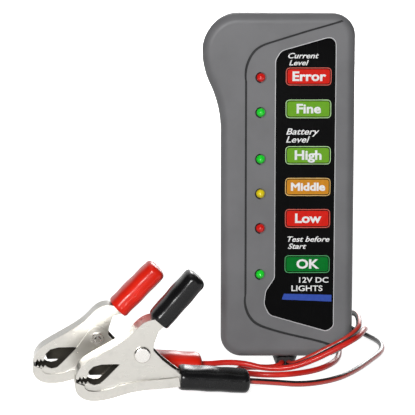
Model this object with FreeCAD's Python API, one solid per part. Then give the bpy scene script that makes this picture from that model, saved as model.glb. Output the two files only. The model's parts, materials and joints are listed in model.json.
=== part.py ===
import FreeCAD, Part
import math
import os

os.makedirs("parts", exist_ok=True)
V = FreeCAD.Vector

# ---- driving dimensions, in millimetres; +Z up, front face towards -Y ----
case_height = 130.0
case_half_width = 28.5      # at the grip bulge and the right edge
waist_left = -21.6          # left edge below the grip bulge
case_depth = 24.0
panel_step = 0.6            # the panel area is this much lower than the raised grip area
case_lift = 5.5             # the cord boot and the leads hold the case this far off the floor
wall = 2.0
seam_depth = 11.0           # height of the shut line above the back face
seam_gap = 0.25
front_edge_radius = 3.4
back_edge_radius = 3.0
led_x = -6.6
led_heights = [106.2, 93.2, 75.7, 62.7, 49.6, 32.0]     # above the bottom of the case
led_names = ["led_1_red", "led_2_green", "led_3_green", "led_4_yellow", "led_5_red", "led_6_green"]
led_radius = 1.5
label_thickness = 0.35
boot_x = 3.3

lead_d = 2.2
coil_radius = 20.0
coil_centre = (6.0, 41.0)

clamp_yaw = 6.0             # the clamps stand on edge, turned this much about Z
clamp_width = 11.4          # across the outer pair of cheeks
sheet = 0.8                 # clamp steel thickness
cheek_gap = 0.2
pivot_height = 16.5
pin_radius = 1.3
handle_height = 4.0
sleeve_height = 8.5
sleeve_width = 13.6
open_angle = 30.0


def polyline_face(points, y=0.0):
    """Flat face in the XZ plane through (x, z) points."""
    vs = [V(p[0], y, p[1]) for p in points]
    return Part.Face(Part.makePolygon(vs + [vs[0]]))


def extrude_y(face, length):
    return face.extrude(V(0, length, 0))


def save(name, shape):
    shape = shape.removeSplitter() if len(shape.Solids) == 1 else shape
    heights = [p.z for p in shape.tessellate(0.05)[0]]
    print("%-22s solids %d valid %s volume %.1f  z %.2f..%.2f" % (
        name, len(shape.Solids), shape.isValid(), shape.Volume, min(heights), max(heights)))
    shape.exportStep("parts/%s.step" % name)


# ---- case: built lying on its back (x, y up the case, z through it), then stood up ----
def arc(cx, cy, r, a0, a1, z):
    pts = [V(cx + r * math.cos(math.radians(a)), cy + r * math.sin(math.radians(a)), z)
           for a in (a0, (a0 + a1) / 2.0, a1)]
    return Part.Arc(*pts).toShape()


def case_outline(inset, z):
    """Closed outline of the case, moved inwards by inset."""
    half = case_height / 2.0
    bulge_y, drop = 51.0, 30.0
    shift = case_half_width + waist_left
    turn = math.degrees(2 * math.atan(shift / drop))
    r_out = 28.0
    r_in = drop / math.sin(math.radians(turn)) - r_out
    parts = [
        arc(case_half_width - 8.5, half - 8.5, 8.5 - inset, 0, 90, z),
        arc(-case_half_width + 14, bulge_y, 14 - inset, 90, 180, z),
        arc(-case_half_width + r_out, bulge_y, r_out - inset, 180, 180 + turn, z),
        arc(waist_left - r_in, bulge_y - drop, r_in + inset, turn, 0, z),
        arc(waist_left + 8, -half + 8, 8 - inset, 180, 270, z),
        arc(case_half_width - 10, -half + 10, 10 - inset, 270, 360, z)]
    edges = []
    for k, e in enumerate(parts):
        after = parts[(k + 1) % len(parts)]
        edges.append(e)
        a, b = e.Vertexes[-1].Point, after.Vertexes[0].Point
        if (a - b).Length > 1e-6:
            edges.append(Part.LineSegment(a, b).toShape())
    return Part.Wire(edges)


def slab(inset0, z0, inset1, z1):
    return Part.makeLoft([case_outline(inset0, z0), case_outline(inset1, z1)], True, True)


def edges_at(shape, z):
    return [e for e in shape.Edges if all(abs(v.Z - z) < 1e-6 for v in e.Vertexes)]


def case_block(top):
    block = slab(0.9, 0.0, 0.0, top)
    block = block.makeFillet(front_edge_radius, edges_at(block, top))
    return block.makeFillet(back_edge_radius, edges_at(block, 0.0))


def at(z_case):
    """Height above the bottom of the case -> lying y."""
    return z_case - case_height / 2.0


def stand_up(shape):
    shape = shape.copy()
    shape.rotate(V(0, 0, 0), V(1, 0, 0), 90)
    shape.translate(V(0, case_depth / 2.0, case_height / 2.0 + case_lift))
    return shape


def smooth_wire(points, z):
    curve = Part.BSplineCurve()
    curve.interpolate([V(p[0], at(p[1]), z) for p in points])
    return curve


# the raised grip area ends at this line: top right, round the panel, bottom right
step_line = [(23.4, 127.6), (11.0, 123.9), (-2.0, 119.9), (-8.6, 117.0), (-12.0, 111.6), (-12.5, 105.0)]
step_low = [(-12.5, 24.0), (-11.9, 17.6), (-9.3, 13.7), (-4.6, 11.3), (9.8, 7.5), (21.0, 4.2)]


def step_prism(shift, z0, z1, drop=0.0):
    """Region right of the step line, moved right by shift and narrowed by drop at top and bottom."""
    hi = smooth_wire([(x + shift, y - drop) for x, y in step_line], z0)
    lo = smooth_wire([(x + shift, y + drop) for x, y in step_low], z0)
    e1, e2 = hi.toShape(), lo.toShape()
    a, b = hi.EndPoint, lo.StartPoint
    c, d = lo.EndPoint, hi.StartPoint
    far = [V(60, c.y, z0), V(60, d.y, z0)]
    corner_low = V(c.x, -90, z0)
    corner_high = V(d.x, 90, z0)
    wire = Part.Wire([e1, Part.LineSegment(a, b).toShape(), e2,
                      Part.LineSegment(c, corner_low).toShape(),
                      Part.LineSegment(corner_low, V(60, -90, z0)).toShape(),
                      Part.LineSegment(V(60, -90, z0), V(60, 90, z0)).toShape(),
                      Part.LineSegment(V(60, 90, z0), corner_high).toShape(),
                      Part.LineSegment(corner_high, d).toShape()])
    return Part.Face(wire).extrude(V(0, 0, z1 - z0))


# the label's outline: straight left edge with a bulge at its foot; x, height and corner radius
label_corners = [(20.9, 12.2, 1.8), (20.9, 121.6, 3.0), (1.0, 115.9, 3.4), (-1.0, 112.6, 3.4), (-1.0, 30.6, 3.2),
                 (-4.3, 25.6, 4.0), (-4.9, 20.6, 5.0), (-3.0, 16.6, 3.6), (18.6, 10.4, 2.6)]


def label_face(grow, z):
    """The label's outline with rounded corners, moved outwards by grow."""
    points = [V(x, at(y), z) for x, y, r in label_corners]
    count = len(points)
    moved = []
    for k in range(count):
        u = (points[k] - points[k - 1]).normalize()
        w = (points[(k + 1) % count] - points[k]).normalize()
        nu, nw = V(u.y, -u.x, 0), V(w.y, -w.x, 0)
        moved.append(points[k] + (nu + nw) * (grow / (1 + nu.dot(nw))))
    edges, here, first = [], None, None
    for k in range(count):
        p, r = moved[k], label_corners[k][2]
        u, w = moved[k - 1] - p, moved[(k + 1) % count] - p
        lu, lw = u.Length, w.Length
        u.normalize()
        w.normalize()
        half = u.getAngle(w) / 2.0
        cut = min(r / math.tan(half), 0.45 * lu, 0.45 * lw)
        r = cut * math.tan(half)
        a, b = p + u * cut, p + w * cut
        bisector = (u + w).normalize()
        mid = p + bisector * (r / math.sin(half) - r)
        if here is not None:
            edges.append(Part.LineSegment(here, a).toShape())
        else:
            first = a
        edges.append(Part.Arc(a, mid, b).toShape())
        here = b
    edges.append(Part.LineSegment(here, first).toShape())
    return Part.Face(Part.Wire(edges))


panel_top = case_depth - panel_step
outer = case_block(panel_top)
raised = case_block(case_depth).cut(step_prism(0.0, panel_top - 6.0, case_depth + 1.0))
raised = raised.cut(Part.makeBox(80, 160, panel_top - 5.0, V(-40, -80, -1)))
outer = outer.fuse(raised)
groove = step_prism(0.0, panel_top - 0.45, panel_top + 1).cut(step_prism(0.8, panel_top - 1, panel_top + 2, 0.55))
outer = outer.cut(groove)
cavity = slab(wall + 0.9, wall, wall, panel_top - wall)
pocket = label_face(0.2, panel_top - 0.5).extrude(V(0, 0, 2))
lower_cut = Part.makeBox(80, 160, seam_depth + 1, V(-40, -80, -1))
upper_cut = Part.makeBox(80, 160, 40, V(-40, -80, seam_depth - seam_gap))

front = outer.cut(cavity).cut(lower_cut).cut(pocket)
for h in led_heights:
    hole = Part.makeCylinder(led_radius + 0.1, 8, V(led_x, at(h), panel_top - 6))
    dish = Part.makeCone(led_radius + 0.1, led_radius + 0.6, 0.5, V(led_x, at(h), panel_top - 0.499))
    front = front.cut(hole).cut(dish)
# the tongue stands inside the front shell's wall, on a ring joined to the back shell
tongue = slab(wall + 0.68, seam_depth - 2.5, wall + 0.62, seam_depth + 1.5)
tongue = tongue.fuse(slab(wall + 0.3, seam_depth - 2.5, wall + 0.3, seam_depth - 0.3))
tongue = tongue.cut(slab(wall + 1.6, seam_depth - 3, wall + 1.6, seam_depth + 2))
back = outer.cut(cavity).cut(upper_cut).fuse(tongue)
# the cord boot sits in a round seat across the shut line
seat = Part.makeCylinder(4.0, 12, V(boot_x, -case_height / 2.0 - 2, case_depth / 2.0), V(0, 1, 0))
save("front_shell", stand_up(front.cut(seat)))
save("back_shell", stand_up(back.cut(seat)))

label = label_face(0.0, panel_top - 0.5).extrude(V(0, 0, label_thickness))
save("front_label", stand_up(label))

for name, h in zip(led_names, led_heights):
    base = panel_top - wall - 1.1
    led = Part.makeCylinder(led_radius, panel_top - base, V(led_x, at(h), base))
    led = led.fuse(Part.makeSphere(led_radius, V(led_x, at(h), panel_top - 0.35)))
    led = led.fuse(Part.makeCylinder(led_radius + 0.4, 0.9, V(led_x, at(h), base)))
    save(name, stand_up(led))

# cord boot: a flanged plug in the seat, a tapered stub below it and a nose towards the front
plug_top = case_lift + wall + 3.4
boot = Part.makeCylinder(3.8, plug_top - case_lift + 0.6, V(boot_x, 0, case_lift - 0.6))
boot = boot.fuse(Part.makeCylinder(5.2, 1.2, V(boot_x, 0, case_lift + wall + 1.8)))
boot = boot.fuse(Part.makeCone(3.4, 5.4, case_lift - 0.25, V(boot_x, 0, 0.1)))
nose_core = Part.makeCone(2.9, 2.35, 7.6, V(boot_x, 0.6, 2.35), V(0, -1, 0))
nose_wide = nose_core.copy()
nose_core.translate(V(-1.2, 0, 0))
nose_wide.translate(V(1.2, 0, 0))
boot = boot.fuse(nose_core).fuse(nose_wide)
boot = boot.cut(Part.makeBox(40, 40, 20, V(-15, -20, -20)))
for side in (-1.3, 1.3):
    boot = boot.cut(Part.makeCylinder(lead_d / 2.0 + 0.05, 12, V(boot_x + side, -3.4, 2.35), V(0, -1, 0)))
save("cord_boot", boot)


# ---- clamps: built with the pivot at the origin, a = x to the handles, z up, y = across ----
def handle_frame(start, end):
    d = V(end[0] - start[0], 0, end[1] - start[1])
    length = d.Length
    return length, math.degrees(math.atan2(end[1] - start[1], end[0] - start[0]))


lower_axis = ((13.7, -9.9), (38.9, -12.0))
# the red clamp's upper handle leans a little further over than the black one's
upper_axes = {"red": ((7.8, 10.4), (22.9, 25.4)), "black": ((6.2, 11.3), (20.3, 27.2))}
# each web follows the back of its jaw and runs on along its handle
lower_web = [(-23.7, -9.5), (-23.8, -12.6), (-21.7, -15.2), (-16.9, -16.35), (-12.1, -15.8),
             (-5.3, -13.9), (3.5, -12.7), (8.7, -12.4)]
upper_web = [(-23.7, -8.3), (-21.9, -4.2), (-17.9, -1.3), (-13.0, 1.4), (-8.6, 3.9), (-4.1, 7.2), (-0.6, 10.6)]
lower_cheek = [(10.7, -5.4), (7.3, -2.6), (4.1, 1.0), (2.5, 3.6), (0.6, 4.5), (-1.6, 4.5), (-3.1, 3.2),
               (-7.8, -3.4), (-13.0, -8.6), (-15.1, -10.5), (-17.1, -10.9), (-18.8, -10.3), (-19.5, -9.6),
               (-20.2, -10.6), (-20.9, -9.6), (-21.5, -10.6), (-22.2, -9.5), (-22.9, -10.4)]
upper_cheek = [(5.8, 8.2), (4.3, 4.0), (3.8, 0.4), (2.9, -2.4), (0.8, -4.0), (-1.7, -4.2), (-6.4, -3.6),
               (-8.0, -6.5), (-11.0, -9.6), (-18.4, -9.6), (-19.4, -7.4), (-20.3, -8.3), (-21.0, -7.2), (-21.6, -8.5), (-22.3, -7.4),
               (-22.9, -8.6)]
mouth_cut = [(-6.4, -3.6), (-9.1, -3.2), (-14.5, -3.2), (-17.5, -3.9), (-19.1, -5.4), (-19.7, -7.1), (-19.0, -10.8), (-6.0, -10.8)]
band_depth = 3.4        # the lower jaw's wider band, along its web
band_proud = 0.5


def handle_points(axis, reach, side):
    """Two points of the handle's edge: at the sleeve mouth and at its end."""
    (ax, az), (bx, bz) = axis
    length = math.hypot(bx - ax, bz - az)
    ux, uz = (bx - ax) / length, (bz - az) / length
    nx, nz = -uz * side * handle_height / 2.0, ux * side * handle_height / 2.0
    return [(ax + nx, az + nz), (ax + ux * (length - reach) + nx, az + uz * (length - reach) + nz)]


def arm_outline(web, cheek, axis, web_side, inset, reach=4.5):
    """Closed outline: web curve, handle, then the free edge of the cheeks."""
    curve = Part.BSplineCurve()
    mouth, tip = handle_points(axis, reach, web_side)
    points = [V(p[0], 0, p[1]) for p in web + [mouth]]
    curve.interpolate(points)
    samples = []
    count = 36
    first, last = curve.FirstParameter, curve.LastParameter
    for k in range(count + 1):
        t = first + (last - first) * k / count
        p, d = curve.value(t), curve.tangent(t)[0]
        n = V(-d.z, 0, d.x) * (-web_side * inset)
        samples.append((p.x + n.x, p.z + n.z))
    ux, uz = tip[0] - mouth[0], tip[1] - mouth[1]
    length = math.hypot(ux, uz)
    n = (-uz / length * -web_side * inset, ux / length * -web_side * inset)
    samples.append((tip[0] + n[0], tip[1] + n[1]))
    return samples


def curve_edge(points):
    curve = Part.BSplineCurve()
    curve.interpolate([V(p[0], 0, p[1]) for p in points])
    return curve.toShape()


def arm_face(web, cheek, axis, web_side, inset, y):
    """Face in the XZ plane; inset > 0 gives the hollow between the cheeks."""
    samples = arm_outline(web, cheek, axis, web_side, inset)
    bend = curve_edge(samples[:-1])
    a, b = samples[-2], samples[-1]
    if inset > 0:
        side = -web_side
        far = [(b[0] + 3 * (b[0] - a[0]) / 10.0, b[1] + 3 * (b[1] - a[1]) / 10.0),
               (60, 3 * side + b[1] * 0), (0, 40 * side), (-40, 24 * side if side > 0 else -24)]
        if web_side > 0:        # upper arm: open side is below
            far = [far[0], (46, 4), (4, -40), (-24.0, -30)]
        else:                   # lower arm: open side is above
            far = [far[0], (52, 2), (10, 40), (-23.6, 30)]
        rest = [b] + far + [samples[0]]
    else:
        inner = handle_points(axis, 4.5, -web_side)
        rest = [b, inner[1], inner[0]] + cheek + [samples[0]]
    edges = [bend, Part.LineSegment(V(a[0], 0, a[1]), V(b[0], 0, b[1])).toShape()]
    for p, q in zip(rest, rest[1:]):
        edges.append(Part.LineSegment(V(p[0], 0, p[1]), V(q[0], 0, q[1])).toShape())
    face = Part.Face(Part.Wire(edges))
    face.translate(V(0, y, 0))
    return face


def band_face(web, cheek, axis, web_side, depth, y):
    """Strip of the cheek next to the web, from the jaw tip to the sleeve."""
    near = arm_outline(web, cheek, axis, web_side, 0.0)[:-1]
    inner = arm_outline(web, cheek, axis, web_side, depth)[:-1]
    a, b, c, d = near[0], near[-1], inner[-1], inner[0]
    edges = [curve_edge(near), Part.LineSegment(V(b[0], 0, b[1]), V(c[0], 0, c[1])).toShape(),
             curve_edge(inner), Part.LineSegment(V(d[0], 0, d[1]), V(a[0], 0, a[1])).toShape()]
    face = Part.Face(Part.Wire(edges))
    face.translate(V(0, y, 0))
    return face


def clamp_arm(web, cheek, axis, web_side, width, hole):
    """Bent sheet channel: a web and two cheeks, with the pivot hole."""
    y0 = clamp_width / 2.0 - width / 2.0
    body = extrude_y(arm_face(web, cheek, axis, web_side, 0.0, y0), width)
    if web_side < 0:
        # the lower jaw is formed wider along its web
        wide = (clamp_width + 2 * band_proud - width) / 2.0
        body = body.fuse(extrude_y(band_face(web, cheek, axis, web_side, band_depth, y0 - wide), width + 2 * wide))
    hollow = extrude_y(arm_face(web, cheek, axis, web_side, sheet, y0 + sheet), width - 2 * sheet)
    body = body.cut(hollow)
    if web_side > 0:
        # the near cheek is cut back over the jaw's mouth, the far one runs lower
        body = body.cut(extrude_y(polyline_face(mouth_cut, -5.0), 5.0 + clamp_width / 2.0))
    pivot = Part.makeCylinder(hole, 40, V(0, -10, 0), V(0, 1, 0))
    return body.cut(pivot)


def sleeve(axis, with_lead):
    """Soft sleeve over a handle: rounded tube, closed at its end."""
    length, angle = handle_frame(*axis)
    y0 = clamp_width / 2.0 - sleeve_width / 2.0
    body = Part.makeBox(length, sleeve_width, sleeve_height, V(0, y0, -sleeve_height / 2.0))
    along = [e for e in body.Edges if abs(e.tangentAt(e.FirstParameter).x) > 0.99]
    body = body.makeFillet(3.8, along)
    end = [e for e in body.Edges if all(abs(v.X - length) < 1e-6 for v in e.Vertexes)]
    body = body.makeFillet(1.1, end)
    inner = Part.makeBox(length - 2.2, clamp_width + 0.5, handle_height + 0.4,
                         V(-1, clamp_width / 2.0 - (clamp_width + 0.5) / 2.0, -(handle_height + 0.4) / 2.0))
    body = body.cut(inner)
    if with_lead:
        body = body.cut(Part.makeCylinder(lead_d / 2.0 + 0.1, 10, V(length - 5, clamp_width / 2.0, 0), V(1, 0, 0)))
    body.rotate(V(0, 0, 0), V(0, 1, 0), -angle)
    body.translate(V(axis[0][0], 0, axis[0][1]))
    return body


def spring_half(y0, y1, leg_end):
    """Two turns of the torsion spring and one straight leg."""
    wire_r = 0.5
    ring_r = 2.35
    turns = []
    step = (y1 - y0 - 2 * wire_r) / 2.0
    shape = None
    for k in range(3):
        ring = Part.makeTorus(ring_r, wire_r, V(0, y0 + wire_r + k * step, 0), V(0, 1, 0))
        shape = ring if shape is None else shape.fuse(ring)
    core = Part.makeCylinder(ring_r + 0.2, y1 - y0 - 2 * wire_r, V(0, y0 + wire_r, 0), V(0, 1, 0))
    core = core.cut(Part.makeCylinder(ring_r - 0.2, 40, V(0, -20, 0), V(0, 1, 0)))
    shape = shape.fuse(core)
    d = V(leg_end[0], 0, leg_end[1])
    across = V(-d.z, 0, d.x).normalize() * (ring_r * (1 if leg_end[1] > 0 else -1))
    y_leg = (y0 + wire_r) if leg_end[1] < 0 else (y1 - wire_r)
    start = V(across.x, y_leg, across.z)
    end = V(leg_end[0], y_leg, leg_end[1])
    leg = Part.makeCylinder(wire_r, (end - start).Length, start, end - start)
    return shape.fuse(leg).cut(Part.makeCylinder(pin_radius + 0.3, 40, V(0, -20, 0), V(0, 1, 0)))


def place_clamp(shape, pivot):
    shape = shape.copy()
    shape.rotate(V(0, 0, 0), V(0, 0, 1), clamp_yaw)
    shape.translate(V(*pivot))
    return shape


inner_width = clamp_width - 2 * (sheet + cheek_gap)
clamp_pivots = {"red": (-67.0, -27.4, pivot_height), "black": (-49.6, -53.0, pivot_height)}


def build_clamp(colour, outer_arm, nutted):
    pivot = clamp_pivots[colour]
    widths = {"upper": inner_width, "lower": inner_width}
    widths[outer_arm] = clamp_width
    holes = {"upper": pin_radius + 0.08, "lower": pin_radius + 0.05}
    upper_axis = upper_axes[colour]
    upper = clamp_arm(upper_web, upper_cheek, upper_axis, 1, widths["upper"], holes["upper"])
    lower = clamp_arm(lower_web, lower_cheek, lower_axis, -1, widths["lower"], holes["lower"])
    save(colour + "_upper_arm", place_clamp(upper, pivot))
    save(colour + "_lower_arm", place_clamp(lower, pivot))
    save(colour + "_upper_sleeve", place_clamp(sleeve(upper_axis, False), pivot))
    save(colour + "_lower_sleeve", place_clamp(sleeve(lower_axis, True), pivot))
    gap = 0.08
    if nutted:
        pin = Part.makeCylinder(pin_radius, clamp_width + 3.4, V(0, -2.6, 0), V(0, 1, 0))
        pin = pin.makeChamfer(0.3, [e for e in pin.Edges if abs(e.BoundBox.YMin + 2.6) < 1e-6
                                    and e.BoundBox.YLength < 1e-6])
        head = Part.makeCylinder(2.9, 1.3, V(0, clamp_width + gap, 0), V(0, 1, 0))
        head = head.makeFillet(0.9, [e for e in head.Edges if e.BoundBox.YLength < 1e-6
                                     and abs(e.BoundBox.YMin - clamp_width - gap - 1.3) < 1e-6])
        save(colour + "_pivot_screw", place_clamp(pin.fuse(head), pivot))
        r = 2.5
        hexagon = [(r * math.cos(math.radians(60 * k + 12)), r * math.sin(math.radians(60 * k + 12)))
                   for k in range(6)]
        nut = extrude_y(polyline_face(hexagon, -gap - 1.7), 1.7)
        nut = nut.common(Part.makeCone(2.15, 3.2, 1.1, V(0, -gap - 1.7, 0), V(0, 1, 0)).fuse(
            Part.makeCylinder(3.2, 0.61, V(0, -gap - 0.61, 0), V(0, 1, 0))))
        nut = nut.cut(Part.makeCylinder(pin_radius + 0.03, 20, V(0, -10, 0), V(0, 1, 0)))
        save(colour + "_pivot_nut", place_clamp(nut, pivot))
    else:
        pin = Part.makeCylinder(pin_radius, clamp_width + 2 * gap + 0.2, V(0, -gap - 0.1, 0), V(0, 1, 0))
        for y, way in ((-gap, -1), (clamp_width + gap, 1)):
            head = Part.makeCylinder(3.0, 1.0, V(0, y, 0), V(0, way, 0))
            rim = [e for e in head.Edges if e.BoundBox.YLength < 1e-6 and abs(e.BoundBox.YMin - y - way) < 1e-6]
            pin = pin.fuse(head.makeFillet(0.8, rim))
        save(colour + "_pivot_rivet", place_clamp(pin, pivot))
    mid = clamp_width / 2.0
    save(colour + "_spring_lower", place_clamp(spring_half(mid - 2.7, mid - 0.1, (13.5, -7.6)), pivot))
    leg_end = {"red": (8.0, 11.1), "black": (6.6, 12.0)}[colour]
    save(colour + "_spring_upper", place_clamp(spring_half(mid + 0.1, mid + 2.7, leg_end), pivot))


build_clamp("red", "lower", True)
build_clamp("black", "upper", False)


# ---- leads ----
def rounded_route(points):
    """Straight runs joined by tangent arcs; returns a wire and the arc radii."""
    vs = [V(*p) for p in points]
    edges, radii = [], []
    here = vs[0]
    for k in range(1, len(vs) - 1):
        u, w = (vs[k] - vs[k - 1]), (vs[k + 1] - vs[k])
        lu, lw = u.Length, w.Length
        u.normalize()
        w.normalize()
        turn = u.getAngle(w)
        back_off = 0.45 * min(lu, lw)
        radii.append((round(back_off / math.tan(turn / 2.0), 1), round(math.degrees(turn))))
        a, b = vs[k] - u * back_off, vs[k] + w * back_off
        r = back_off / math.tan(turn / 2.0)
        bisector = (w - u).normalize()
        centre = vs[k] + bisector * math.hypot(r, back_off)
        mid = centre - bisector * r
        edges.append(Part.LineSegment(here, a).toShape())
        edges.append(Part.Arc(a, mid, b).toShape())
        here = b
    edges.append(Part.LineSegment(here, vs[-1]).toShape())
    return Part.Wire(edges), radii


def lead(name, points):
    wire, radii = rounded_route(points)
    start = V(*points[1]) - V(*points[0])
    ring = Part.Wire(Part.makeCircle(lead_d / 2.0, V(*points[0]), start))
    tube = wire.makePipeShell([ring], True, True)
    expected = math.pi * (lead_d / 2.0) ** 2 * wire.Length
    print("   %s length %.1f  volume ratio %.4f  arcs (radius, turn) %s" % (
        name, wire.Length, tube.Volume / expected, radii))
    save(name, tube)


def clamp_point(colour, a, b):
    """Point in a clamp's middle plane, a along it and b up from its pivot."""
    px, py, pz = clamp_pivots[colour]
    c, s = math.cos(math.radians(clamp_yaw)), math.sin(math.radians(clamp_yaw))
    w = clamp_width / 2.0
    return (px + a * c - w * s, py + a * s + w * c, pz + b)


cx, cy = coil_centre
red_in = [(2.0, -3.6, 2.35), (2.0, -9.2, 2.35), (-1.8, -11.0, 1.5), (-8.2, -8.6, 1.15), (-14.0, -9.4, 1.15),
          (-15.4, -15.6, 1.15), (-9.0, -20.4, 1.15), (1.9, -21.4, 1.15), (13.6, -15.4, 1.15),
          (21.6, -3.6, 1.15), (25.2, 10.0, 1.15), (26.0, 31.0, 1.55)]
red_out = [clamp_point("red", 28.1, -11.1), clamp_point("red", 40.7, -12.15), (-19.5, -15.0, 4.6),
           (-12.4, -14.8, 4.1), (-5.0, -16.2, 2.4), (4.0, -17.4, 2.7), (12.8, -17.2, 5.6), (20.6, -16.8, 9.4),
           (27.2, -15.6, 12.6), (31.6, -8.8, 13.6), (33.6, -0.6, 14.0), (35.0, 7.6, 12.4), (33.0, 14.6, 9.2),
           (26.6, 19.2, 7.4), (16.2, 20.9, 5.8)]
black_in = [(4.6, -3.6, 2.35), (4.6, -9.2, 2.35), (7.4, -12.6, 3.6), (12.8, -13.9, 6.5), (19.6, -13.8, 10.0),
            (26.0, -14.6, 13.6), (30.8, -9.8, 16.3), (31.6, -2.6, 17.8), (31.4, 5.6, 18.7), (29.2, 13.0, 17.8),
            (22.4, 17.8, 15.2), (15.9, 20.3, 12.9)]
black_out = [clamp_point("black", 28.1, -11.1), clamp_point("black", 40.7, -12.15), (-2.0, -39.5, 3.0),
             (8.5, -37.0, 1.5), (20.8, -28.4, 1.15), (29.6, -14.0, 1.15), (36.6, 2.8, 1.15), (42.6, 18.0, 1.15),
             (43.4, 32.4, 1.15), (38.8, 46.4, 1.15), (29.4, 56.6, 3.2), (16.0, 61.0, 7.2)]
lead("red_lead_to_case", red_in)
lead("red_lead_to_clamp", red_out)
lead("black_lead_to_case", black_in)
lead("black_lead_to_clamp", black_out)


def coil(name, z0, height):
    """Wound spare length of one lead, as one solid ring."""
    r0, r1 = coil_radius - lead_d / 2.0, coil_radius + lead_d / 2.0
    ring = Part.makeCylinder(r1, height, V(cx, cy, z0)).cut(Part.makeCylinder(r0, height + 2, V(cx, cy, z0 - 1)))
    save(name, ring)


coil("red_lead_coil", 0.6, 6.1)
coil("black_lead_coil", 7.1, 5.6)

# one flat tie holds both coils, on the side away from the case
tie_gap, tie_thick, tie_width, tie_height = 0.16, 0.35, 4.0, 12.9
inside = lead_d / 2.0 + tie_gap
band = Part.makeBox(2 * (inside + tie_thick), tie_width, tie_height + 0.1,
                    V(coil_radius - inside - tie_thick, -tie_width / 2.0, 0.05))
band = band.makeFillet(0.8, [e for e in band.Edges if abs(e.tangentAt(e.FirstParameter).y) > 0.99])
band = band.cut(Part.makeBox(2 * inside, tie_width + 2, tie_height + 0.1 - 2 * tie_thick,
                             V(coil_radius - inside, -tie_width / 2.0 - 1, 0.05 + tie_thick)))
band.rotate(V(0, 0, 0), V(0, 0, 1), 150)
band.translate(V(cx, cy, 0))
save("coil_tie", band)
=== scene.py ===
import json
import math
import bmesh
import bpy
import numpy as np
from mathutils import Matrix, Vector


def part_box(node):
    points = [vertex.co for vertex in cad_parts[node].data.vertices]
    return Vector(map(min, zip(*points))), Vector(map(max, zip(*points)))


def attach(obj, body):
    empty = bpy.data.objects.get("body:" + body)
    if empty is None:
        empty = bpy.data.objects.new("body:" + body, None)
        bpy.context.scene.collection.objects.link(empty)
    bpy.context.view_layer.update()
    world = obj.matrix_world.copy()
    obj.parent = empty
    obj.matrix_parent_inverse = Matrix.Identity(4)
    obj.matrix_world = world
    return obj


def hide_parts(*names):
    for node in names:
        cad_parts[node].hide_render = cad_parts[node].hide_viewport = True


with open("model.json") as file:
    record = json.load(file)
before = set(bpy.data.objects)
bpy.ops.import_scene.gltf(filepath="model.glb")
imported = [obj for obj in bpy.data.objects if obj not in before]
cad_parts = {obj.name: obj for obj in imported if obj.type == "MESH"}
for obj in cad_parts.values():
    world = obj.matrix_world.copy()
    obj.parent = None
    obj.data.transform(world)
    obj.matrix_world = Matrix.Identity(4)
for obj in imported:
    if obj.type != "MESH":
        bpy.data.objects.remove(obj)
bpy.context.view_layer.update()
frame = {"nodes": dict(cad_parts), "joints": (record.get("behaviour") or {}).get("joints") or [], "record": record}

mm = 0.001
record = frame["record"]
bodyOf = {n: b for b, ns in record["behaviour"]["bodies"].items() for n in ns}
scene = bpy.context.scene

shot = {"at": (-0.0264, -0.712, 0.174), "pitch": 9.0, "lens": 164.5, "sensor": 36.0,
        "near": 0.05, "far": 30.0}
camData = bpy.data.cameras.new("studioCamera")
camData.sensor_width, camData.lens = shot["sensor"], shot["lens"]
camData.clip_start, camData.clip_end = shot["near"], shot["far"]
cam = bpy.data.objects.new("studioCamera", camData)
scene.collection.objects.link(cam)
cam.location = shot["at"]
cam.rotation_euler = (math.radians(90.0 - shot["pitch"]), 0.0, 0.0)
scene.camera = cam


def areaLight(name, at, target, size, power):
    data = bpy.data.lights.new(name, "AREA")
    data.shape, data.size, data.size_y = "RECTANGLE", size[0], size[1]
    data.energy = power
    obj = bpy.data.objects.new(name, data)
    obj.location = at
    aim = np.array(target) - np.array(at)
    pitch = math.atan2(-aim[2], math.hypot(aim[0], aim[1]))
    obj.rotation_euler = (math.radians(90) - pitch, 0, math.atan2(-aim[0], aim[1]))
    scene.collection.objects.link(obj)


# where each light stands, what it faces, its size (all in metres) and its power in watts
areaLight("keyBox", (-0.3, -1.5, 0.52), (0, 0, 0.05), (0.36, 0.36), 20.5)
areaLight("fillBox", (0.5, -1.3, 0.25), (0, 0, 0.06), (0.25, 0.4), 1.0)
areaLight("topBox", (-0.15, 0.1, 1.1), (-0.02, 0, 0.0), (0.9, 0.7), 1.6)
areaLight("rearBox", (0.35, 1.4, 0.6), (0, 0, 0.06), (0.7, 0.7), 9.0)
areaLight("backBox", (0.1, 1.6, 1.0), (0, 2.6, 0.0), (2.4, 0.8), 60.0)

world = bpy.data.worlds.new("paleStudio")
world.use_nodes = True
sky = world.node_tree.nodes["Background"]
skyNodes, skyLinks = world.node_tree.nodes, world.node_tree.links
skyPlace = skyNodes.new("ShaderNodeTexCoord")
skySplit = skyNodes.new("ShaderNodeSeparateXYZ")
skyRange = skyNodes.new("ShaderNodeMapRange")
skyRange.interpolation_type = "SMOOTHSTEP"
# pale behind the tester, dim in front and at its sides
for key, value in (("From Min", 0.45), ("From Max", 0.8), ("To Min", 0.07), ("To Max", 0.85)):
    skyRange.inputs[key].default_value = value
skyLinks.new(skyPlace.outputs["Generated"], skySplit.inputs[0])
skyLinks.new(skySplit.outputs["Y"], skyRange.inputs["Value"])
skyLinks.new(skyRange.outputs["Result"], sky.inputs["Strength"])
sky.inputs["Color"].default_value = (1.0, 1.0, 1.0, 1.0)
world.cycles_visibility.diffuse = False
scene.view_settings.view_transform = "Standard"
scene.world = world
print("camera and light ready")


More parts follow.
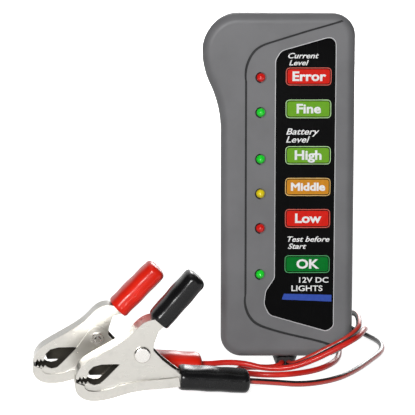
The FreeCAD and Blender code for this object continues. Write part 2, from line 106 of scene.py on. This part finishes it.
class Wire:
    # One socket with arithmetic; each operation adds its Math node.
    def __init__(self, graph, socket):
        self.graph, self.socket = graph, socket

    def __add__(self, other):
        return self.graph.node("ShaderNodeMath", {"operation": "ADD"}, {0: self, 1: other})

    def __mul__(self, other):
        return self.graph.node("ShaderNodeMath", {"operation": "MULTIPLY"}, {0: self, 1: other})

    def step(self, low, high):
        # Smooth 0 to 1 between low and high.
        return self.graph.node("ShaderNodeMapRange", {"interpolation_type": "SMOOTHSTEP"},
                               {"Value": self, "From Min": low, "From Max": high})


class Finish:
    # A material with its Principled shader and the node helpers.
    def __init__(self, name, **fixed):
        self.mat = bpy.data.materials.new(name)
        self.mat.use_nodes = True
        self.tree = self.mat.node_tree
        self.shader = self.tree.nodes["Principled BSDF"]
        for key, value in fixed.items():
            self.put(key.replace("_", " "), value)

    def feed(self, socket, value):
        if isinstance(value, Wire):
            self.tree.links.new(value.socket, socket)
        elif isinstance(value, tuple) and socket.type == "RGBA":
            socket.default_value = value + (1.0,)
        else:
            socket.default_value = value

    def put(self, key, value):
        self.feed(self.shader.inputs[key], value)

    def node(self, kind, settings, inputs, out=0):
        n = self.tree.nodes.new(kind)
        for key, value in settings.items():
            setattr(n, key, value)
        for key, value in inputs.items():
            self.feed(n.inputs[key], value)
        return Wire(self, n.outputs[out])

    def noise(self, scale, detail=3.0, rough=0.55, stretch=(1, 1, 1)):
        spot = self.node("ShaderNodeTexCoord", {}, {}, out=3)       # output 3 is the object's own space
        place = self.node("ShaderNodeMapping", {}, {"Vector": spot, "Scale": stretch})
        return self.node("ShaderNodeTexNoise", {}, {"Vector": place, "Scale": scale, "Detail": detail,
                                                    "Roughness": rough})

    def mix(self, factor, a, b):
        # Inputs 0, 6 and 7 and output 2 are the node's factor, colours and result.
        return self.node("ShaderNodeMix", {"data_type": "RGBA"}, {0: factor, 6: a, 7: b}, out=2)

    def bump(self, height, strength, distance):
        self.put("Normal", self.node("ShaderNodeBump", {}, {"Height": height, "Strength": strength,
                                                            "Distance": distance}))


def moulded(name, colour, rough, grain=0.35):
    # Moulded plastic: fine spark-eroded grain, faint mottling and handling smudges.
    f = Finish(name, Specular_IOR_Level=0.35)
    mottle = f.noise(45.0, 4.0)
    smudge = f.noise(160.0, 3.0)
    fine = f.noise(5200.0, 2.0, 0.7)
    dark = tuple(c * 0.9 for c in colour)
    light = tuple(min(1.0, c * 1.1) for c in colour)
    f.put("Base Color", f.mix(mottle.step(0.3, 0.7), dark, light))
    f.put("Roughness", smudge * 0.16 + (rough - 0.08) + fine * 0.05)
    f.bump(fine, grain, 0.00006)
    return f.mat


def vinyl(name, colour, rough, coat=0.22):
    # Dip-moulded vinyl: slow ripples, a soft gloss and a little dust in the colour.
    f = Finish(name, Coat_Weight=coat, Coat_Roughness=0.1, Specular_IOR_Level=0.18)
    slow = f.noise(210.0, 2.0, 0.5, (1, 1, 0.6))
    fine = f.noise(2600.0, 2.0)
    haze = f.noise(90.0, 3.0)
    f.put("Base Color", f.mix(haze.step(0.35, 0.7), tuple(c * 0.88 for c in colour),
                              tuple(min(1.0, c * 1.08 + 0.004) for c in colour)))
    f.put("Roughness", fine * 0.12 + (rough - 0.06))
    f.bump(slow * 0.8 + fine * 0.12, 0.5, 0.0003)
    return f.mat


def platedSteel(name, colour=(0.52, 0.505, 0.47), rough=0.24):
    # Nickel-plated sheet: rolled grain, soft dents, faint warm tarnish.
    f = Finish(name, Metallic=1.0)
    roll = f.noise(900.0, 3.0, 0.6, (0.25, 1, 2.4))
    dents = f.noise(130.0, 2.0)
    tarnish = f.noise(240.0, 4.0, 0.6)
    f.put("Base Color", f.mix(tarnish.step(0.5, 0.8), colour, tuple(c * 0.88 for c in colour)))
    f.put("Roughness", roll * 0.1 + rough + tarnish.step(0.5, 0.8) * 0.08)
    f.bump(dents * 0.8 + roll * 0.06, 0.13, 0.0002)
    return f.mat


def lens(name, colour, glow):
    # Diffused light body with painted glow: a weak emission of its colour though it is not lit, colour and glow
    # mottled by noise.
    f = Finish(name, Coat_Weight=0.35, Coat_Roughness=0.05, Roughness=0.25, Specular_IOR_Level=0.2)
    cloud = f.noise(1900.0, 2.0)
    f.put("Base Color", f.mix(cloud.step(0.3, 0.75), tuple(c * 0.75 for c in colour), colour))
    f.put("Emission Color", f.mix(cloud.step(0.2, 0.8), tuple(c * 0.6 for c in glow), glow))
    # painted glow: the lights are not lit, yet the lens gets a weak emission
    f.put("Emission Strength", 0.55)
    return f.mat


def ink(name, colour):
    # Screen-printed ink: faint mesh texture and uneven cover.
    f = Finish(name, Coat_Weight=0.02, Coat_Roughness=0.15, Specular_IOR_Level=0.05)
    cover = f.noise(700.0, 3.0)
    mesh = f.noise(6500.0, 1.0)
    f.put("Base Color", f.mix(cover.step(0.3, 0.7), tuple(c * 0.9 for c in colour), colour))
    f.put("Roughness", cover * 0.14 + 0.31)
    f.bump(mesh, 0.15, 0.00003)
    return f.mat


def glossFilm():
    # Printed polyester film: deep black, faint orange peel and hair scratches.
    f = Finish("labelFilm", Coat_Weight=0.02, Coat_Roughness=0.08, Specular_IOR_Level=0.03)
    peel = f.noise(420.0, 2.0)
    hair = f.noise(1500.0, 2.0, 0.5, (1, 1, 0.05))
    f.put("Base Color", f.mix(peel.step(0.3, 0.7), (0.0004, 0.0004, 0.0006), (0.001, 0.001, 0.0012)))
    f.put("Roughness", hair.step(0.55, 0.75) * 0.12 + 0.2)
    f.bump(peel, 0.12, 0.00008)
    return f.mat


def tracerVinyl():
    # Black lead sheath with a red tracer line that wanders slowly round it.
    f = Finish("tracerVinyl", Coat_Weight=0.35, Coat_Roughness=0.18)
    line = f.node("ShaderNodeAttribute", {"attribute_name": "tracer"}, {}, out=2)
    fine = f.noise(2600.0, 2.0)
    f.put("Base Color", f.mix(line.step(0.74, 0.80), (0.011, 0.011, 0.012), (0.62, 0.035, 0.02)))
    f.put("Roughness", fine * 0.14 + 0.3)
    f.bump(fine, 0.2, 0.00006)
    return f.mat


finish = {
    "case": moulded("caseGrey", (0.152, 0.152, 0.158), 0.44),
    # painted shade: a near-black copy of the case plastic for the step line and the light dishes
    "caseShade": moulded("caseGrooveShade", (0.018, 0.018, 0.019), 0.6),
    "boot": moulded("bootRubber", (0.013, 0.013, 0.014), 0.5, 0.5),
    "film": glossFilm(),
    # painted highlight: light grey for the band round the label
    "rim": moulded("labelRim", (0.62, 0.62, 0.63), 0.35),
    "steel": platedSteel("nickelPlate"),
    # painted shade, partly dull unplated steel: a dark copy of the plating for the hollow sides of the arms
    "steelDark": platedSteel("nickelPlateInner", (0.055, 0.05, 0.042), 0.4),
    "pin": platedSteel("brightPin", (0.66, 0.64, 0.61), 0.2),
    "spring": platedSteel("springWire", (0.5, 0.48, 0.45), 0.3),
    "redVinyl": vinyl("redVinyl", (0.93, 0.022, 0.008), 0.3),
    "blackVinyl": vinyl("blackVinyl", (0.006, 0.006, 0.0065), 0.26, 0.12),
    "redSheath": vinyl("redSheath", (0.74, 0.02, 0.012), 0.34),
    "tracer": tracerVinyl(),
    "white": ink("whiteInk", (0.95, 0.95, 0.95)),
    "red": ink("redInk", (0.78, 0.018, 0.010)),
    "lime": ink("limeInk", (0.17, 0.44, 0.025)),
    "green": ink("greenInk", (0.0, 0.19, 0.022)),
    "orange": ink("orangeInk", (0.72, 0.29, 0.02)),
    "redPale": ink("redPaleInk", (0.80, 0.16, 0.12)),
    "limePale": ink("limePaleInk", (0.55, 0.85, 0.42)),
    "greenPale": ink("greenPaleInk", (0.10, 0.42, 0.16)),
    "orangePale": ink("orangePaleInk", (0.95, 0.62, 0.22)),
    "blue": ink("blueInk", (0.045, 0.10, 0.48)),
    # the lights' lenses, with painted glow
    "redLens": lens("redLens", (0.62, 0.010, 0.006), (0.42, 0.004, 0.003)),
    "greenLens": lens("greenLens", (0.010, 0.62, 0.025), (0.004, 0.46, 0.016)),
    "yellowLens": lens("yellowLens", (0.80, 0.62, 0.006), (0.40, 0.33, 0.003)),
}
print("finishes ready:", len(finish))


def toObject(name, mesh, material, angle=35.0):
    mesh.materials.clear()
    mesh.materials.append(material)
    mesh.polygons.foreach_set("use_smooth", np.ones(len(mesh.polygons), dtype=bool))
    mesh.set_sharp_from_angle(angle=math.radians(angle))
    obj = bpy.data.objects.new(name, mesh)
    scene.collection.objects.link(obj)
    return obj


def quads(index, following):
    # Four-cornered faces between each row of point numbers and the row that follows it.
    corners = [index, np.roll(index, -1, 1), np.roll(following, -1, 1), following]
    return np.stack(corners, -1).reshape(-1, 4).tolist()


def meshFrom(name, points, faces):
    # Mesh with joined points, no empty faces and all normals outward.
    mesh = bpy.data.meshes.new(name)
    mesh.from_pydata(points.reshape(-1, 3).tolist(), [], faces)
    work = bmesh.new()
    work.from_mesh(mesh)
    bmesh.ops.remove_doubles(work, verts=work.verts, dist=2e-7)
    bmesh.ops.dissolve_degenerate(work, edges=work.edges, dist=1e-8)
    bmesh.ops.recalc_face_normals(work, faces=work.faces)
    work.to_mesh(mesh)
    work.free()
    return mesh


def numbered(points):
    return np.arange(points.shape[0] * points.shape[1]).reshape(points.shape[:2])


def gridObject(name, points, material, angle):
    # Closed skin over a (rows, around, 3) array; the first and last rows are poles.
    index = numbered(points)
    return toObject(name, meshFrom(name, points, quads(index[:-1], index[1:])), material, angle)


def slabObject(name, rings, material):
    # Plate from outlines of equal length, back to front; both ends close with one face.
    points = np.stack(rings)
    index = numbered(points)
    ends = [index[0].tolist(), index[-1][::-1].tolist()]
    return toObject(name, meshFrom(name, points, quads(index[:-1], index[1:]) + ends), material)


def bandObject(name, inner, outer, y, height, material):
    # Thin raised frame between two outlines in the XZ plane.
    points = np.stack([np.insert(inner, 1, y + height, 1), np.insert(inner, 1, y, 1),
                       np.insert(outer, 1, y, 1), np.insert(outer, 1, y + height, 1)])
    index = numbered(points)
    return toObject(name, meshFrom(name, points, quads(index, np.roll(index, -1, 0))), material)


def roundedOutline(corners, steps=10):
    # Corners (x, z, radius) -> outline in metres, each corner an arc tangent to both sides.
    pts = np.array([c[:2] for c in corners], float)
    out = []
    for k, (p, r) in enumerate(zip(pts, [c[2] for c in corners])):
        u, w = pts[k - 1] - p, pts[(k + 1) % len(pts)] - p
        lu, lw = np.linalg.norm(u), np.linalg.norm(w)
        u, w = u / lu, w / lw
        half = math.acos(np.clip(u @ w, -1, 1)) / 2
        cut = min(r / math.tan(half), 0.48 * lu, 0.48 * lw)
        t = np.linspace(0, 1, steps)[:, None]
        a, b = p + u * cut, p + w * cut
        out.append((1 - t) ** 2 * a + 2 * t * (1 - t) * p + t ** 2 * b)
    return np.concatenate(out) * mm


def offsetOutline(line, gap):
    # Move each point along its outward normal; the outline runs either way round.
    ahead, behind = np.roll(line, -1, 0), np.roll(line, 1, 0)
    tangent = ahead - behind
    tangent /= np.linalg.norm(tangent, axis=1)[:, None] + 1e-12
    area = np.sum(line[:, 0] * ahead[:, 1] - ahead[:, 0] * line[:, 1])
    normal = np.stack([tangent[:, 1], -tangent[:, 0]], 1) * math.copysign(1, area)
    return line + normal * gap


def faceRows(mesh, key):
    # One row of three numbers for each face: its "center" or its "normal".
    rows = np.empty(len(mesh.polygons) * 3)
    mesh.polygons.foreach_get(key, rows)
    return rows.reshape(-1, 3)


def secondFinish(mesh, chosen, material):
    mesh.materials.append(material)
    mesh.polygons.foreach_set("material_index", chosen.astype(np.int32))


def darkenInside(obj, pivot, across, half, material):
    # Painted shade, partly the dull unplated inside: a dark second material on the hollow side of a channel, on
    # faces between the cheeks that look inwards.
    centre, normal = faceRows(obj.data, "center") - pivot, faceRows(obj.data, "normal")
    place, facing = centre @ across, normal @ across
    inward = np.einsum("ij,ij->i", centre, normal) < 0
    cheek = (np.abs(place) < half) & (place * facing < -0.5 * np.abs(place))
    web = (np.abs(place) < half - 0.0002) & (np.abs(facing) < 0.5) & inward
    secondFinish(obj.data, cheek | web, material)


def mergedCopy(node, name, material, bevel=0.0, angle=30.0, flat=False):
    # A CAD node's own shape with joined corners, so its bends shade smoothly.
    mesh = frame["nodes"][node].data.copy()
    work = bmesh.new()
    work.from_mesh(mesh)
    bmesh.ops.remove_doubles(work, verts=work.verts, dist=2e-6)
    bmesh.ops.dissolve_limit(work, angle_limit=math.radians(0.4), verts=work.verts, edges=work.edges)
    work.to_mesh(mesh)
    work.free()
    obj = toObject(name, mesh, material, angle)
    if bevel:
        cut = obj.modifiers.new("softEdges", "BEVEL")
        cut.width, cut.segments, cut.limit_method = bevel, 2, "ANGLE"
        cut.angle_limit, cut.harden_normals = math.radians(50), False
    if flat:
        obj.modifiers.new("flatFaces", "WEIGHTED_NORMAL").keep_sharp = True
    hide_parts(node)
    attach(obj, bodyOf[node])
    return obj


caseFront = mergedCopy("front_shell", "caseFront", finish["case"], angle=16.0, flat=True)
mergedCopy("back_shell", "caseBack", finish["case"], angle=16.0, flat=True)
# painted shade: the floor and walls of the step line and the left part of the light dishes take a near-black copy
# of the case colour, standing in for the shade in these recesses
shadeLook = {"deepest": -10.8, "grooveFloor": -11.1, "stripMiddle": -9.3, "stripHalf": 2.6}     # mm
centre, facing = faceRows(caseFront.data, "center") / mm, faceRows(caseFront.data, "normal")[:, 1]
depth = centre[:, 1]
grooveFloor = (facing < -0.99) & (depth > shadeLook["grooveFloor"])
wall = np.abs(facing) < 0.1
inStrip = np.abs(centre[:, 0] - shadeLook["stripMiddle"]) < shadeLook["stripHalf"]
dish = (facing < -0.5) & (facing > -0.9) & inStrip
shaded = (depth < shadeLook["deepest"]) & (grooveFloor | wall | dish)
secondFinish(caseFront.data, shaded, finish["caseShade"])
mergedCopy("cord_boot", "cordBoot", finish["boot"])
for node, key in (("led_1_red", "redLens"), ("led_2_green", "greenLens"), ("led_3_green", "greenLens"),
                  ("led_4_yellow", "yellowLens"), ("led_5_red", "redLens"), ("led_6_green", "greenLens")):
    mergedCopy(node, node.replace("led_", "light"), finish[key])
print("case ready")

caseFoot = 5.5      # bottom of the case above the surface, mm
labelLook = {
    "corners": [(20.9, 12.2, 1.8), (20.9, 121.6, 3.0), (1.0, 115.9, 3.4), (-1.0, 112.6, 3.4),
                (-1.0, 30.6, 3.2), (-4.3, 25.6, 4.0), (-4.9, 20.6, 5.0), (-3.0, 16.6, 3.6),
                (18.6, 10.4, 2.6)],
    "front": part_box("front_label")[0][1], "back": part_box("front_label")[1][1]}
outline = roundedOutline([(x, z + caseFoot, r) for x, z, r in labelLook["corners"]])
front = labelLook["front"]
label = slabObject("labelSheet", [np.insert(outline, 1, labelLook["back"], 1),
                                  np.insert(outline, 1, front + 0.00004, 1),
                                  np.insert(offsetOutline(outline, -0.00005), 1, front, 1)], finish["film"])
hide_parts("front_label")
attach(label, "tester")
# painted highlight: a light grey band just outside the label stands in for the light on the edge of its recess
rim = bandObject("labelRimLine", offsetOutline(outline, 0.0001), offsetOutline(outline, 0.00036),
                 front - 0.00022, 0.0003, finish["rim"])
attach(rim, "tester")

# status plates, top to bottom: lower and upper edge (mm), finish, word
plates = [(103.3, 109.9, "red", "Error"), (91.1, 98.0, "lime", "Fine"), (73.8, 80.6, "lime", "High"),
          (61.9, 68.7, "orange", "Middle"), (49.8, 56.9, "red", "Low"), (32.6, 39.3, "green", "OK")]
plateLook = {"left": 2.6, "right": 19.5, "round": 1.7, "wordX": 11.05, "wordDrop": 0.1, "wordSize": 4.8,
             "longWordSize": 4.1, "bold": 0.16, "stretch": 1.16}     # mm, and the width factor


def boxOutline(x0, x1, z0, z1, r):
    return roundedOutline([(x1, z0 + caseFoot, r), (x1, z1 + caseFoot, r), (x0, z1 + caseFoot, r),
                           (x0, z0 + caseFoot, r)], 8)


def word(name, text, x, z, size, align, slant, bold, stretch, level):
    # Flat letters facing -Y, turned to a mesh before they are put in place.
    data = bpy.data.curves.new(name, "FONT")
    data.body, data.size, data.shear = text, size * mm, slant
    data.align_x, data.align_y = align, "CENTER"
    data.bevel_depth, data.bevel_resolution, data.resolution_u = bold * mm, 1, 3
    holder = bpy.data.objects.new(name + "Curve", data)
    scene.collection.objects.link(holder)
    bpy.context.view_layer.update()
    mesh = bpy.data.meshes.new_from_object(holder.evaluated_get(bpy.context.evaluated_depsgraph_get()))
    bpy.data.objects.remove(holder)
    co = np.empty(len(mesh.vertices) * 3)
    mesh.vertices.foreach_get("co", co)
    co = co.reshape(-1, 3)
    placed = np.stack([co[:, 0] * stretch + x * mm, front - level - co[:, 2] * 0.12,
                       co[:, 1] + (z + caseFoot) * mm], 1)
    mesh.vertices.foreach_set("co", placed.ravel())
    mesh.update()
    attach(toObject(name, mesh, finish["white"]), "tester")


for k, (z0, z1, inkName, text) in enumerate(plates):
    name = "statusPlate%d" % (k + 1)
    edge = boxOutline(plateLook["left"], plateLook["right"], z0, z1, plateLook["round"])
    ring = bandObject(name + "Line", offsetOutline(edge, -0.00028), edge, front - 0.00003, 0.00004,
                      finish[inkName + "Pale"])
    inner = offsetOutline(edge, -0.00062)
    fill = slabObject(name, [np.insert(inner, 1, front + 0.00002, 1),
                             np.insert(inner, 1, front - 0.00003, 1)], finish[inkName])
    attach(ring, "tester")
    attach(fill, "tester")
    size = plateLook["longWordSize"] if len(text) > 5 else plateLook["wordSize"]
    word(name + "Word", text, plateLook["wordX"], (z0 + z1) / 2 - plateLook["wordDrop"], size, "CENTER", 0.0,
         plateLook["bold"], plateLook["stretch"], 0.00007)

captionLook = {"bold": 0.05, "stretch": 1.22}
# captions: text, left edge and middle height (mm), size (mm), slant
for k, (text, x, z, size, slant) in enumerate([
        ("Current", 3.0, 114.2, 2.8, 0.3), ("Level", 3.6, 111.6, 2.7, 0.3), ("Battery", 2.6, 86.0, 3.3, 0.3),
        ("Level", 2.6, 83.0, 3.3, 0.3), ("Test before", 3.0, 45.4, 2.8, 0.3), ("Start", 3.6, 42.7, 2.8, 0.3),
        ("12V DC", 7.4, 29.8, 2.9, 0.0), ("LIGHTS", 5.0, 26.6, 3.0, 0.0)]):
    word("caption%d" % (k + 1), text, x, z, size, "LEFT", slant, captionLook["bold"], captionLook["stretch"],
         0.00006)
strip = roundedOutline([(20.3, 21.6 + caseFoot, 0.2), (20.3, 24.2 + caseFoot, 0.2),
                        (2.4, 24.6 + caseFoot, 0.2), (1.6, 22.4 + caseFoot, 0.2)], 4)
blueStrip = slabObject("blueStrip", [np.insert(strip, 1, front + 0.00002, 1),
                                     np.insert(strip, 1, front - 0.00003, 1)], finish["blue"])
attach(blueStrip, "tester")
print("label ready")

yaw = math.radians(6.0)     # both clamps turned from the X axis
along, across = np.array([math.cos(yaw), math.sin(yaw), 0]), np.array([-math.sin(yaw), math.cos(yaw), 0])
up = np.array([0.0, 0.0, 1.0])
pivots = {j["name"].split("_")[0]: np.array(j["pos_m"]) for j in frame["joints"]}


def inClamp(colour, a, b):
    return pivots[colour] + (a * along + b * up) * mm


sleeveLook = {"halfWidth": 6.8, "halfHeight": 4.25, "round": 2.7, "wallThick": 0.9, "ripple": 0.13,
              "endRound": 2.2, "flare": 0.035, "flareLength": 1.6, "shrink": 0.985}     # mm, and factors


def sleevePiece(name, node, colour, start, end, seed, material):
    # Rounded box section |x/a|^n + |y/b|^n = 1 carried along the handle, with a lip and a domed end.
    s = sleeveLook
    a0, a1 = inClamp(colour, *start), inClamp(colour, *end)
    length = np.linalg.norm(a1 - a0)
    axis = (a1 - a0) / length
    side = across
    top = np.cross(axis, side)
    phi = np.linspace(0, 2 * np.pi, 64, endpoint=False)
    n = s["round"]
    cx = np.sign(np.cos(phi)) * np.abs(np.cos(phi)) ** (2 / n)
    cz = np.sign(np.sin(phi)) * np.abs(np.sin(phi)) ** (2 / n)
    r = s["endRound"] * mm
    inner = 1 - s["wallThick"] / s["halfHeight"]
    bend = np.linspace(0, np.pi / 2, 7)
    body = np.linspace(0.0, length - r, 26)
    # along the axis: a pole inside the mouth, the lip, the body, the domed end and its pole
    place = np.concatenate([[0.9 * mm, 0.9 * mm, 0.25 * mm, 0.0], body[1:],
                            length - r + r * np.sin(bend[1:]), [length]])
    drop = np.concatenate([[9.0, 0.0, 0.0, 0.12], np.zeros(len(body) - 1),
                           (r / mm) * (1 - np.cos(bend[1:])), [9.0]])
    scale = np.concatenate([[0, inner, inner, 1 - 0.25 / s["halfHeight"]], np.ones(len(body) - 1),
                            np.ones(len(bend) - 1), [0]])
    flare = 1 + s["flare"] * np.exp(-place / (s["flareLength"] * mm)) * (scale > 0.9)
    far = place[:, None] / mm
    wave = np.sin(phi[None, :] * 2 + seed + far * 0.23) * np.sin(far * 0.5 + seed)
    wave = wave * s["ripple"] * (scale[:, None] > 0.9) * (drop[:, None] < 0.1)
    hw = np.maximum(s["halfWidth"] - drop, 0) * scale * flare * s["shrink"]
    hh = np.maximum(s["halfHeight"] - drop, 0) * scale * flare * s["shrink"]
    hw[scale == 0], hh[scale == 0] = 0, 0
    pts = (a0 + place[:, None, None] * axis
           + ((hw[:, None] * cx + wave * cx * 0.5) * mm)[..., None] * side
           + ((hh[:, None] * cz + wave * cz) * mm)[..., None] * top)
    obj = gridObject(name, pts, material, 50)
    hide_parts(node)
    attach(obj, bodyOf[node])
    return obj


# mouth and end of each sleeve, and where its ripples start
upperHandle = {"red": ((7.8, 10.4), (22.9, 25.4), 0.7), "black": ((6.2, 11.3), (20.3, 27.2), 2.1)}
lowerHandle = {"red": ((13.7, -9.9), (38.9, -12.0), 1.3), "black": ((13.7, -9.9), (38.9, -12.0), 3.0)}
armLook = {"edgeRound": 0.00016, "outerHalf": 5.7, "innerHalf": 4.7, "cheek": 0.0006}
clampPieces = {"red": [], "black": []}
for colour, outerArm in (("red", "lower"), ("black", "upper")):
    for part, key in (("upper_arm", "steel"), ("lower_arm", "steel"), ("spring_lower", "spring"),
                      ("spring_upper", "spring")):
        piece = mergedCopy(colour + "_" + part, colour + part.title().replace("_", ""), finish[key],
                           armLook["edgeRound"] if "arm" in part else 0.0)
        if "arm" in part:
            half = armLook["outerHalf" if part.startswith(outerArm) else "innerHalf"] * mm - armLook["cheek"]
            # painted shade on the arms' inward-facing faces
            darkenInside(piece, pivots[colour], across, half, finish["steelDark"])
        clampPieces[colour].append(piece)
    for part, handle in (("Upper", upperHandle), ("Lower", lowerHandle)):
        node = colour + "_" + part.lower() + "_sleeve"
        clampPieces[colour].append(sleevePiece(colour + part + "Sleeve", node, colour, *handle[colour],
                                               finish[colour + "Vinyl"]))
for node in ("red_pivot_screw", "red_pivot_nut", "black_pivot_rivet"):
    colour = node.split("_")[0]
    clampPieces[colour].append(mergedCopy(node, node.title().replace("_", ""), finish["pin"]))
print("clamps ready")

coilLook = {"x": 6.0, "y": 41.0, "radius": 20.0, "perTurn": 16}     # mm


def coilTurns(startDeg, turns, z0, z1):
    # Points of a wound coil: radius fixed, height changing evenly; a negative count winds clockwise.
    count = int(abs(turns) * coilLook["perTurn"])
    t = np.arange(0, count + 1) / count
    ang = np.radians(startDeg) + t * turns * 2 * np.pi
    reach = coilLook["radius"] / math.cos(math.pi / coilLook["perTurn"]) ** 0.5
    return np.stack([coilLook["x"] + reach * np.cos(ang), coilLook["y"] + reach * np.sin(ang),
                     z0 + (z1 - z0) * t], 1)


def clampSpot(colour, a, b):
    return tuple(inClamp(colour, a, b) / mm)


# routes in mm: from the boot to the coils, and from the clamp's lower sleeve to the coils
redIn = [(2.0, -3.6, 2.35), (2.0, -9.2, 2.35), (-1.8, -11.0, 1.5), (-8.2, -8.6, 1.15), (-14.0, -9.4, 1.15),
         (-15.4, -15.6, 1.15), (-9.0, -20.4, 1.15), (1.9, -21.4, 1.15), (13.6, -15.4, 1.15),
         (21.6, -3.6, 1.15), (25.2, 10.0, 1.15), (26.0, 31.0, 1.55)]
redOut = [clampSpot("red", 28.1, -11.1), clampSpot("red", 40.7, -12.15), (-19.5, -15.0, 4.6),
          (-12.4, -14.8, 4.1), (-5.0, -16.2, 2.4), (4.0, -17.4, 2.7), (12.8, -17.2, 5.6), (20.6, -16.8, 9.4),
          (27.2, -15.6, 12.6), (31.6, -8.8, 13.6), (33.6, -0.6, 14.0), (35.0, 7.6, 12.4), (33.0, 14.6, 9.2),
          (26.6, 19.2, 7.4), (16.2, 20.9, 5.8)]
blackIn = [(4.6, -3.6, 2.35), (4.6, -9.2, 2.35), (7.4, -12.6, 3.6), (12.8, -13.9, 6.5), (19.6, -13.8, 10.0),
           (26.0, -14.6, 13.6), (30.8, -9.8, 16.3), (31.6, -2.6, 17.8), (31.4, 5.6, 18.7), (29.2, 13.0, 17.8),
           (22.4, 17.8, 15.2), (15.9, 20.3, 12.9)]
blackOut = [clampSpot("black", 28.1, -11.1), clampSpot("black", 40.7, -12.15), (-2.0, -39.5, 3.0),
            (8.5, -37.0, 1.5), (20.8, -28.4, 1.15), (29.6, -14.0, 1.15), (36.6, 2.8, 1.15),
            (42.6, 18.0, 1.15), (43.4, 32.4, 1.15), (38.8, 46.4, 1.15), (29.4, 56.6, 3.2), (16.0, 61.0, 7.2)]
leadLook = {"diameter": 2.2 * mm, "around": 20, "smooth": 8}


def splineLine(name, points):
    # The route's NURBS spline, read back as a line of points.
    data = bpy.data.curves.new(name, "CURVE")
    data.dimensions = "3D"
    data.resolution_u = leadLook["smooth"]
    sp = data.splines.new("NURBS")
    sp.points.add(len(points) - 1)
    sp.points.foreach_set("co", np.append(np.array(points) * mm, np.ones((len(points), 1)), 1).ravel())
    sp.order_u = 3
    sp.use_endpoint_u = True
    holder = bpy.data.objects.new(name, data)
    scene.collection.objects.link(holder)
    bpy.context.view_layer.update()
    mesh = bpy.data.meshes.new_from_object(holder)
    line = np.empty(len(mesh.vertices) * 3)
    mesh.vertices.foreach_get("co", line)
    bpy.data.objects.remove(holder)
    line = line.reshape(-1, 3)
    keep = np.append(True, np.linalg.norm(np.diff(line, axis=0), axis=1) > 1e-6)
    return line[keep]


def leadTube(name, points, material, twist):
    # Circle of the lead's radius carried along its line; 'tracer' is the cosine from the stripe's middle.
    line = splineLine(name + "Line", points)
    t = np.gradient(line, axis=0)
    t /= np.linalg.norm(t, axis=1)[:, None]
    side = np.cross(t, [0.0, 0.0, 1.0])
    side /= np.linalg.norm(side, axis=1)[:, None]
    top = np.cross(side, t)
    phi = np.linspace(0, 2 * np.pi, leadLook["around"], endpoint=False)
    ring = np.cos(phi)[None, :, None] * side[:, None, :] + np.sin(phi)[None, :, None] * top[:, None, :]
    pts = line[:, None, :] + leadLook["diameter"] / 2 * ring
    index = numbered(pts)
    count = len(phi)
    first = np.stack([np.roll(index[0], -1), index[0], np.full(count, index.size)], 1).tolist()
    last = np.stack([index[-1], np.roll(index[-1], -1), np.full(count, index.size + 1)], 1).tolist()
    mesh = bpy.data.meshes.new(name)
    verts = np.concatenate([pts.reshape(-1, 3), line[:1], line[-1:]])
    mesh.from_pydata(verts.tolist(), [], quads(index[:-1], index[1:]) + first + last)
    walk = np.append(0, np.cumsum(np.linalg.norm(np.diff(line, axis=0), axis=1)))
    stripe = np.cos(phi[None, :] - (twist[0] + twist[1] * walk)[:, None]).ravel()
    tracer = mesh.attributes.new("tracer", "FLOAT", "POINT")
    tracer.data.foreach_set("value", np.append(stripe, [0.0, 0.0]).astype(np.float32))
    work = bmesh.new()
    work.from_mesh(mesh)
    bmesh.ops.recalc_face_normals(work, faces=work.faces)
    work.to_mesh(mesh)
    work.free()
    print(name, "length %.4f m" % walk[-1])
    return toObject(name, mesh, material, 60), line, float(walk[-1])


redRoute = redIn + [tuple(p) for p in coilTurns(0, 1.75, 1.7, 5.5)] + redOut[::-1]
blackRoute = blackIn + [tuple(p) for p in coilTurns(-90, -1.5, 11.6, 8.2)] + blackOut[::-1]
# each lead's route, its finish, and the tracer's starting angle and turn in radians per metre
for colour, route, sheath, twist in (("red", redRoute, "redSheath", (0.0, 0.0)),
                                     ("black", blackRoute, "tracer", (0.9, 6.0))):
    tube, line, length = leadTube(colour + "Lead", route, finish[sheath], twist)
    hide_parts(colour + "_lead_to_case", colour + "_lead_coil", colour + "_lead_to_clamp")
    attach(tube, "tester")
mergedCopy("coil_tie", "coilTie", finish["blackVinyl"])
print("leads ready")

floorMat = Finish("paleFloor", Roughness=0.9, Specular_IOR_Level=0.1, Emission_Color=(1.0, 1.0, 1.0),
                  Emission_Strength=0.85)
floorMat.put("Base Color", floorMat.mix(floorMat.noise(6.0, 2.0).step(0.3, 0.7), (0.93, 0.93, 0.93),
                                        (0.95, 0.95, 0.95)))
floorMesh = bpy.data.meshes.new("paleFloor")
floorMesh.from_pydata([(-6, -6, 0), (6, -6, 0), (6, 9, 0), (-6, 9, 0)], [], [(0, 1, 2, 3)])
floor = toObject("paleFloor", floorMesh, floorMat.mat)
# it shows in reflections but doesn't flood the sides with light
floor.visible_diffuse = False
